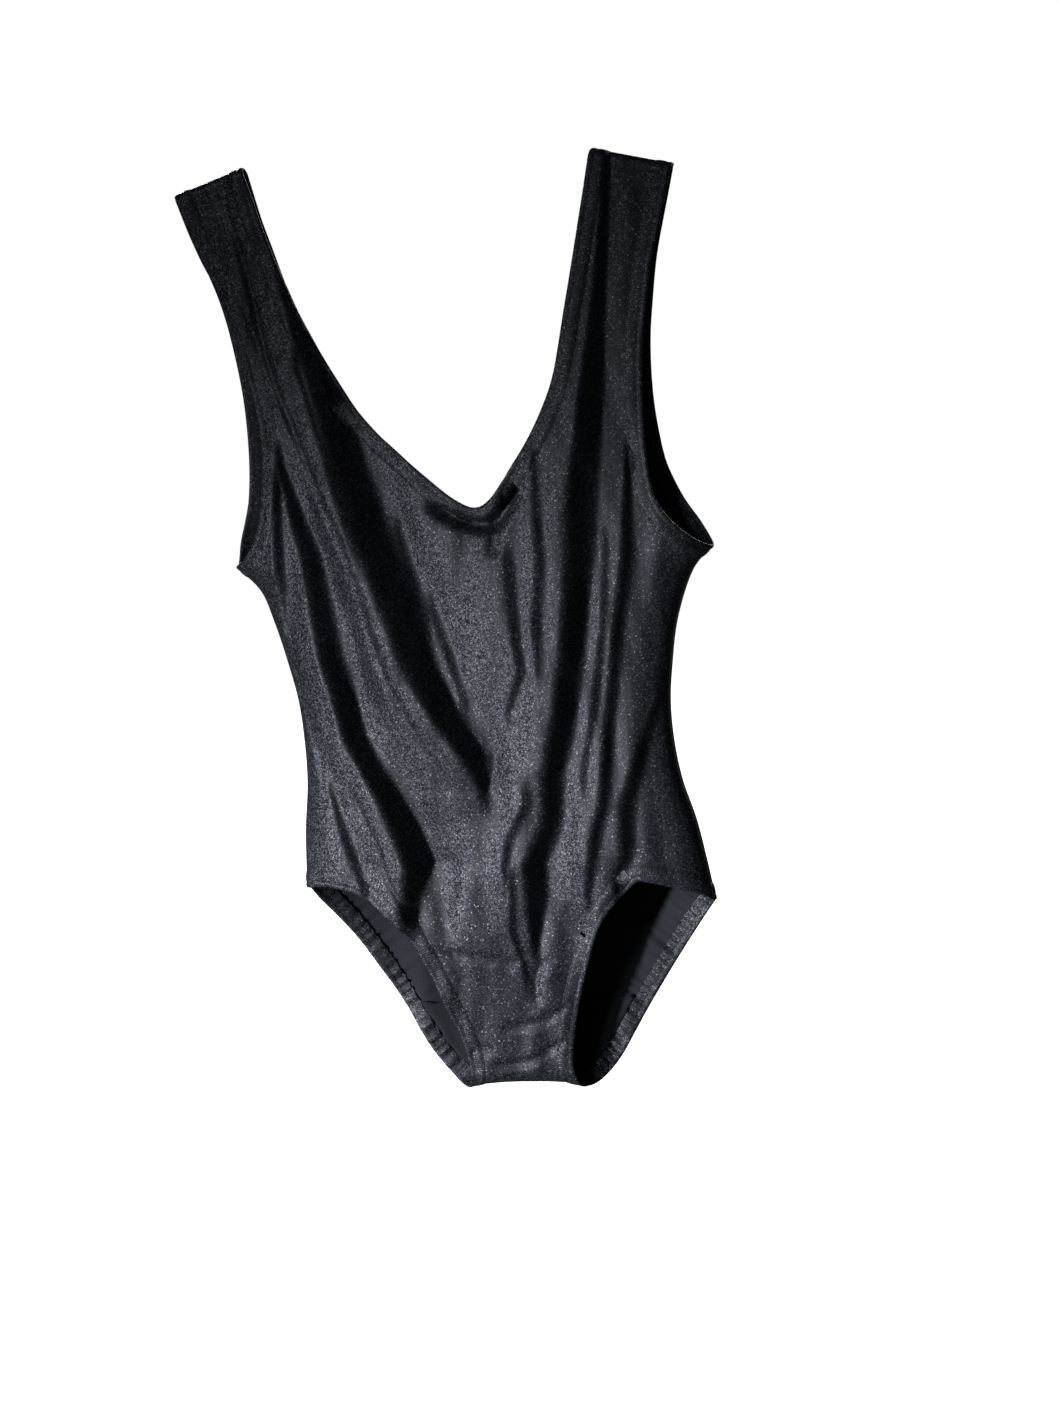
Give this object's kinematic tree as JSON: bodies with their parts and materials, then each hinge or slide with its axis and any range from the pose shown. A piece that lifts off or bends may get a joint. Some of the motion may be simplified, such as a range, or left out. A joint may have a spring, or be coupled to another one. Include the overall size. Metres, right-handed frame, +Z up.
{
  "type": "gymnastics leotard",
  "caption": "Sleeveless child's stretch-satin leotard with scooped neck and high leg, hanging empty by its shoulder straps.",
  "frame": {"origin": "midway between the two shoulder folds, at the level where the straps rest on what they hang from", "axes": "+Z up along the garment, -Y the front, +X to the right as the front is seen"},
  "size_m": [0.3094, 0.0623, 0.5906],
  "materials": {
    "stretch_satin": "black nylon and elastane knit with a satin face and a fine glitter",
    "elastic": "covered elastic tape",
    "thread": "black textured nylon thread",
    "lining": "matte black knit lining",
    "label": "blank white satin ribbon"
  },
  "bodies": {
    "garment": {"front_panel": "stretch_satin", "back_panel": "stretch_satin", "neckline_hem": "stretch_satin", "left_armhole_hem": "stretch_satin", "right_armhole_hem": "stretch_satin", "left_leg_hem": "stretch_satin", "right_leg_hem": "stretch_satin", "neckline_elastic": "elastic", "left_armhole_elastic": "elastic", "right_armhole_elastic": "elastic", "left_leg_elastic": "elastic", "right_leg_elastic": "elastic", "neckline_cover_stitch": "thread", "left_armhole_cover_stitch": "thread", "right_armhole_cover_stitch": "thread", "left_leg_cover_stitch": "thread", "right_leg_cover_stitch": "thread", "left_side_seam": "thread", "right_side_seam": "thread", "left_shoulder_seam": "thread", "right_shoulder_seam": "thread", "crotch_seam": "thread", "gusset_lining": "lining", "gusset_front_stitch": "thread", "gusset_back_stitch": "thread", "label_stitch": "thread"},
    "label": {"care_label": "label"}
  },
  "joints": [
    {"name": "label_flap", "type": "hinge", "parent": "garment", "child": "label", "pos_m": [0.002, 0.0197, -0.216], "axis": [-1, 0, 0], "range_deg": [0, 70]}
  ]
}
